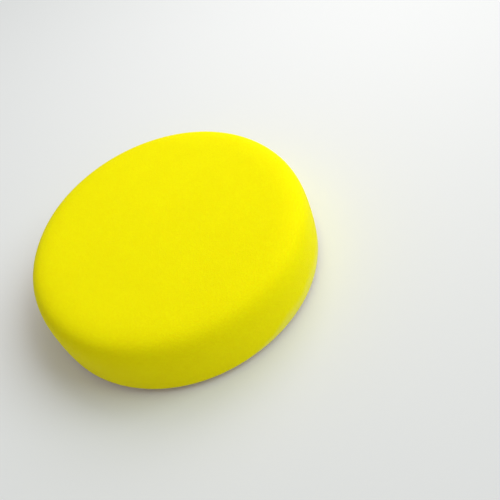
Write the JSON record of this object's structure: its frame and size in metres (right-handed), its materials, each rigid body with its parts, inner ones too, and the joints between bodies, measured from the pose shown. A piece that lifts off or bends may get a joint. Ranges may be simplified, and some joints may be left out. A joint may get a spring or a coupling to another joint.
{
  "type": "polishing pad",
  "caption": "Round yellow foam pad for a polishing machine, with a rounded working edge and a white hook-and-loop backing.",
  "frame": {"origin": "centre of the loop face, which the pad lies on", "axes": "+Z along the pad's axis, from the loop face to the working face; the pad is round, so +X and +Y may be any two directions square to it"},
  "size_m": [0.15, 0.15, 0.0375],
  "materials": {
    "foam": "matte",
    "hot_melt": "satin",
    "binder": "matte",
    "cloth": "matte",
    "loops": "matte"
  },
  "bodies": {
    "root": {"foam_body": "foam", "bond_film": "hot_melt", "binder_coat": "binder", "knit_cloth": "cloth", "loop_pile": "loops"}
  },
  "joints": []
}
